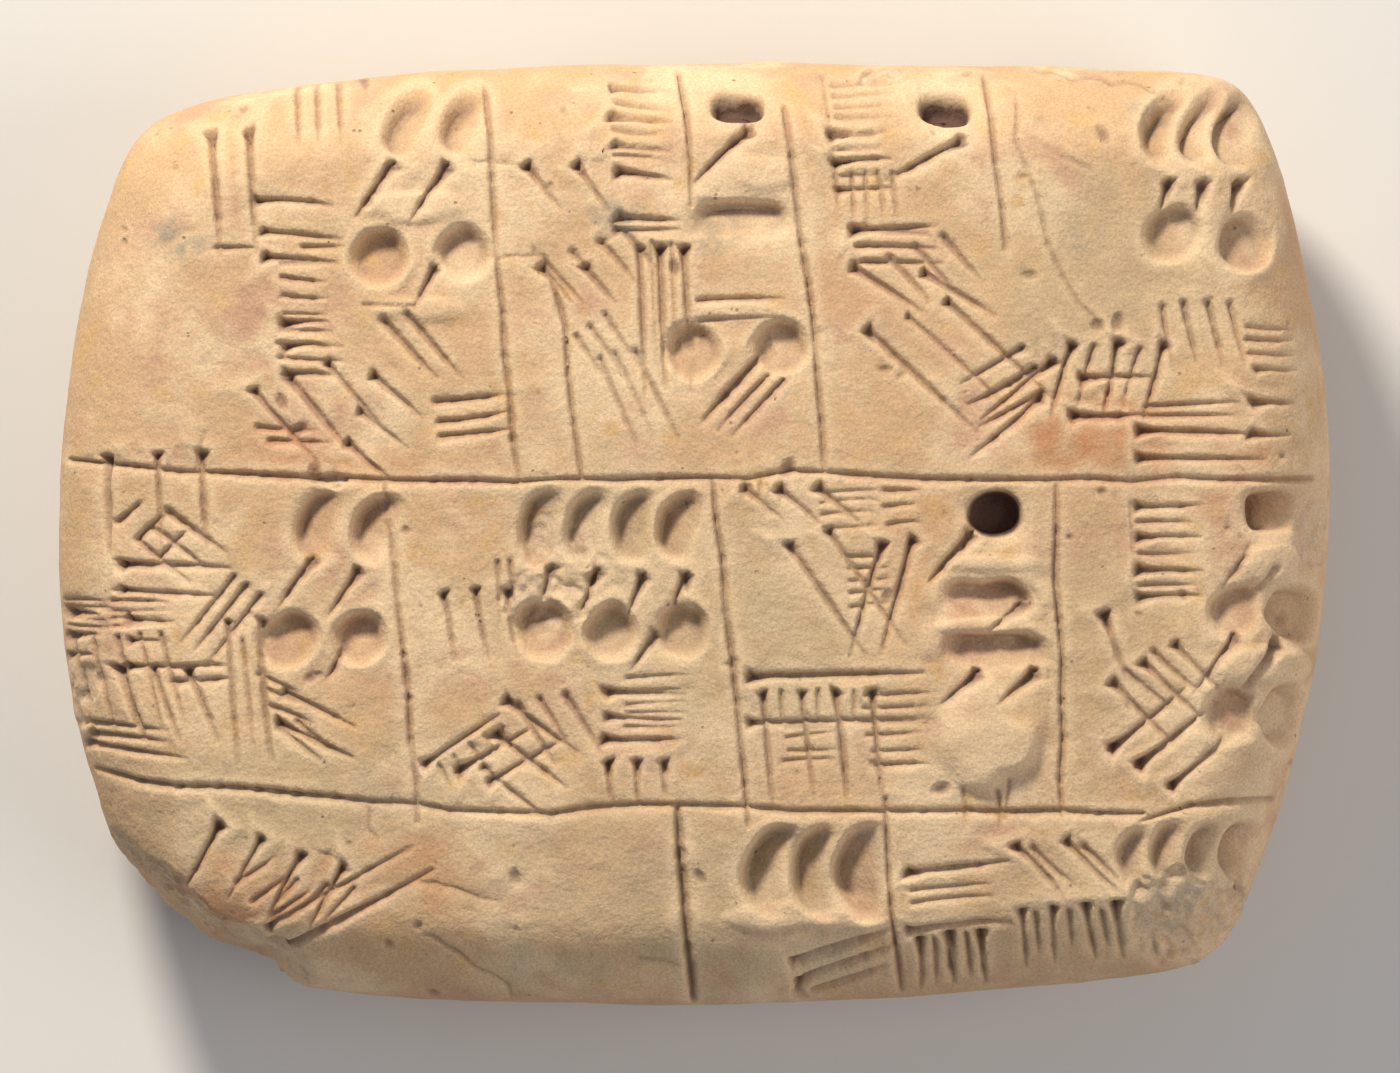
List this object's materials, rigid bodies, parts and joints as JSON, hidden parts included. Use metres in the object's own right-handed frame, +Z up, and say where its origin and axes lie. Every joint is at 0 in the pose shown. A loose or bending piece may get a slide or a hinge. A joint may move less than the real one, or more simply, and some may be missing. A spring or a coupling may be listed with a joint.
{
  "type": "cuneiform tablet",
  "caption": "Cushion-shaped clay tablet lying on its back, its face ruled into cases with pressed tally marks and rows of drawn strokes, one lower corner broken.",
  "frame": {"origin": "on the surface the tablet lies on, under the middle of its box", "axes": "+X along the tablet's length to the reader's right, +Y across it away from the reader, +Z up out of the inscribed face"},
  "size_m": [0.094, 0.0698, 0.023],
  "materials": {
    "clay": "matte unglazed clay"
  },
  "bodies": {
    "root": {"tablet": "clay"}
  },
  "joints": []
}
